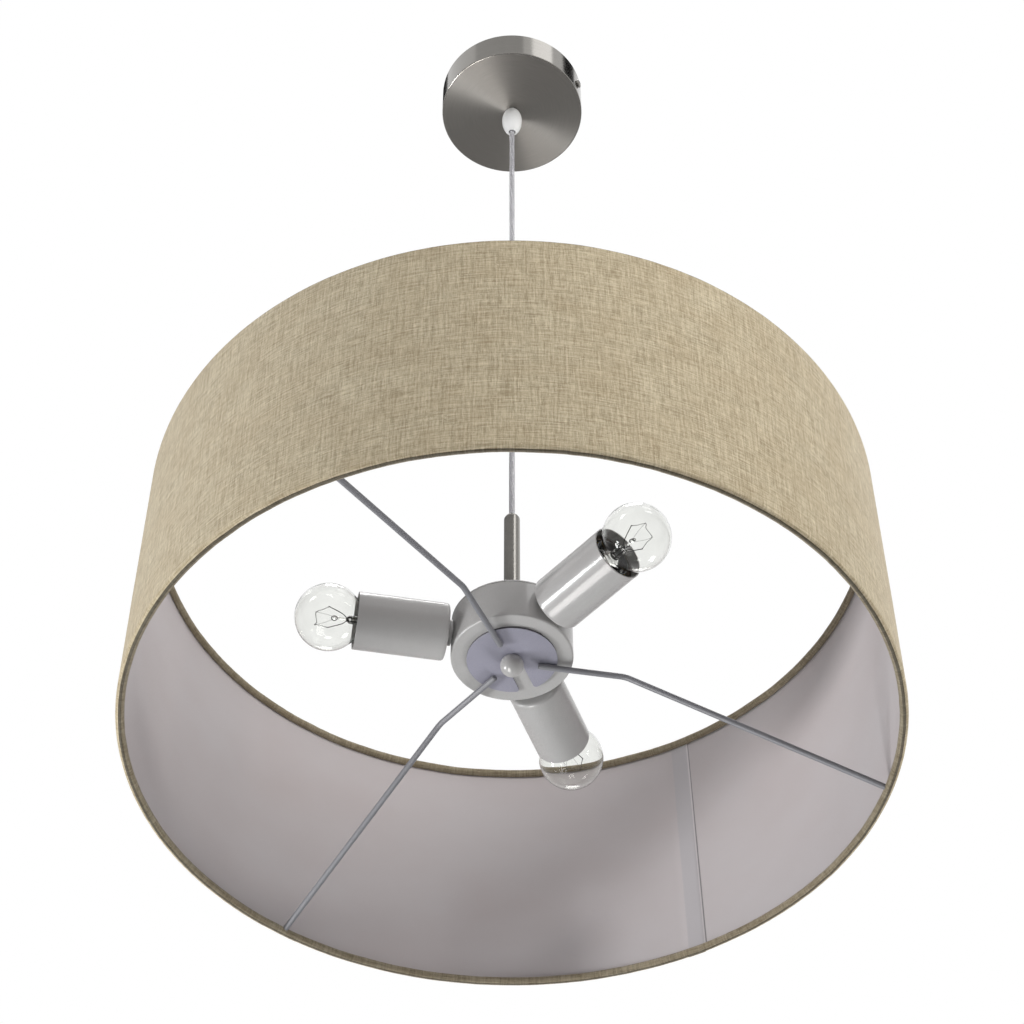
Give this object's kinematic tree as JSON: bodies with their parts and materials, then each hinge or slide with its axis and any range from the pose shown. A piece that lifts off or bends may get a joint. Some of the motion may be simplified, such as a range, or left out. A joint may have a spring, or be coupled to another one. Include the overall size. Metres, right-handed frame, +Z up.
{
  "type": "pendant light",
  "caption": "Drum-shade pendant light: linen shade on a slotted carrier under a hub with radial lampholders, hung by a clear cord from a round nickel canopy.",
  "frame": {"origin": "centre of the ceiling bracket's upper face, on the light's axis, at the ceiling", "axes": "+Z up out of the ceiling bracket, towards the ceiling; the light hangs to -Z; +X to the right and +Y away from the viewer of the picture"},
  "size_m": [0.5, 0.5, 0.763],
  "materials": {
    "brushed_nickel": "radially brushed nickel face, smoother side wall",
    "satin_nickel": "satin nickel",
    "zinc_steel": "zinc plated steel",
    "brass": "plain brass",
    "white_paint": "white powder coat, semi-gloss",
    "white_nylon": "moulded, slightly glossy",
    "black_phenolic": "moulded, matt",
    "clear_pvc": "clear sheath over the cores",
    "brown_lead": "plain",
    "blue_lead": "plain",
    "green_lead": "plain",
    "clear_glass": "clear, polished",
    "glass_mount": "glass stem with metal wires",
    "linen": "slubbed natural linen weave",
    "white_lining": "smooth white film"
  },
  "bodies": {
    "canopy": {"ceiling_bracket": "zinc_steel", "canopy_cup": "brushed_nickel", "canopy_screw_1": "satin_nickel", "canopy_screw_2": "satin_nickel", "terminal_block": "white_nylon", "cord_grip_body": "white_nylon", "cord_grip_cap": "white_nylon", "cord_grip_nut": "white_nylon", "cord_tail_upper": "clear_pvc", "lead_live": "brown_lead", "lead_neutral": "blue_lead", "lead_earth": "green_lead"},
    "cord_bend": {"cord_bend": "clear_pvc"},
    "cord": {"pendant_cord": "clear_pvc"},
    "lamp": {"stem_tube": "satin_nickel", "stem_bush": "satin_nickel", "centre_rod": "zinc_steel", "rod_nut": "zinc_steel", "hub_cup": "white_paint", "hub_lid": "white_paint", "cord_tail_lower": "clear_pvc", "holder_nipple_1": "zinc_steel", "holder_nipple_2": "zinc_steel", "holder_nipple_3": "zinc_steel", "spacer_collar_1": "white_paint", "spacer_collar_2": "white_paint", "spacer_collar_3": "white_paint", "holder_sleeve_1": "white_paint", "holder_sleeve_2": "white_paint", "holder_sleeve_3": "white_paint", "lampholder_1": "black_phenolic", "lampholder_2": "black_phenolic", "lampholder_3": "black_phenolic", "socket_shell_1": "brass", "socket_shell_2": "brass", "socket_shell_3": "brass", "socket_contact_1": "brass", "socket_contact_2": "brass", "socket_contact_3": "brass"},
    "shade": {"spider_plate": "white_paint", "spider_arm_1": "white_paint", "spider_arm_2": "white_paint", "spider_arm_3": "white_paint", "shade_ring_lower": "zinc_steel", "shade_ring_upper": "zinc_steel", "shade_cover": "linen", "shade_lining": "white_lining"},
    "finial": {"finial_nut": "white_paint"},
    "bulb_contact_1": {"bulb_contact_1": "zinc_steel"},
    "bulb_1": {"bulb_cap_1": "zinc_steel", "bulb_glass_1": "clear_glass", "bulb_mount_1": "glass_mount"},
    "bulb_contact_2": {"bulb_contact_2": "zinc_steel"},
    "bulb_2": {"bulb_cap_2": "zinc_steel", "bulb_glass_2": "clear_glass", "bulb_mount_2": "glass_mount"},
    "bulb_contact_3": {"bulb_contact_3": "zinc_steel"},
    "bulb_3": {"bulb_cap_3": "zinc_steel", "bulb_glass_3": "clear_glass", "bulb_mount_3": "glass_mount"}
  },
  "joints": [
    {"name": "swing_x", "type": "hinge", "parent": "canopy", "child": "cord_bend", "pos_m": [0, 0, -0.0572], "axis": [1, 0, 0], "range_deg": [-20, 20]},
    {"name": "swing_y", "type": "hinge", "parent": "cord_bend", "child": "cord", "pos_m": [0, 0, -0.0692], "axis": [0, 1, 0], "range_deg": [-20, 20]},
    {"name": "lamp_turn", "type": "hinge", "parent": "cord", "child": "lamp", "pos_m": [0, 0, -0.5487], "axis": [0, 0, 1], "range_deg": [-180, 180]},
    {"name": "bulb_1_travel", "type": "slide", "parent": "lamp", "child": "bulb_contact_1", "axis": [0.3355, 0.9421, 0], "range_m": [0, 0.0254]},
    {"name": "bulb_1_turn", "type": "hinge", "parent": "bulb_contact_1", "child": "bulb_1", "pos_m": [0.03354, 0.09421, -0.6687], "axis": [0.3355, 0.9421, 0], "range_deg": [0, 2520]},
    {"name": "bulb_2_travel", "type": "slide", "parent": "lamp", "child": "bulb_contact_2", "axis": [-0.9836, -0.1805, 0], "range_m": [0, 0.0254]},
    {"name": "bulb_2_turn", "type": "hinge", "parent": "bulb_contact_2", "child": "bulb_2", "pos_m": [-0.09836, -0.01805, -0.6687], "axis": [-0.9836, -0.1805, 0], "range_deg": [0, 2520]},
    {"name": "bulb_3_travel", "type": "slide", "parent": "lamp", "child": "bulb_contact_3", "axis": [0.6481, -0.7615, 0], "range_m": [0, 0.0254]},
    {"name": "bulb_3_turn", "type": "hinge", "parent": "bulb_contact_3", "child": "bulb_3", "pos_m": [0.06481, -0.07615, -0.6687], "axis": [0.6481, -0.7615, 0], "range_deg": [0, 2520]},
    {"name": "shade_lower", "type": "slide", "parent": "lamp", "child": "shade", "axis": [0, 0, -1], "range_m": [0, 0.0075]},
    {"name": "finial_turn", "type": "hinge", "parent": "shade", "child": "finial", "pos_m": [0, 0, -0.6916], "axis": [0, 0, -1], "range_deg": [0, 2701]}
  ],
  "couplings": [
    {"joint": "bulb_1_turn", "follows": "bulb_1_travel", "rad_per_m": 1731.4},
    {"joint": "bulb_2_turn", "follows": "bulb_2_travel", "rad_per_m": 1731.4},
    {"joint": "bulb_3_turn", "follows": "bulb_3_travel", "rad_per_m": 1731.4},
    {"joint": "finial_turn", "follows": "shade_lower", "rad_per_m": 6283.2}
  ]
}
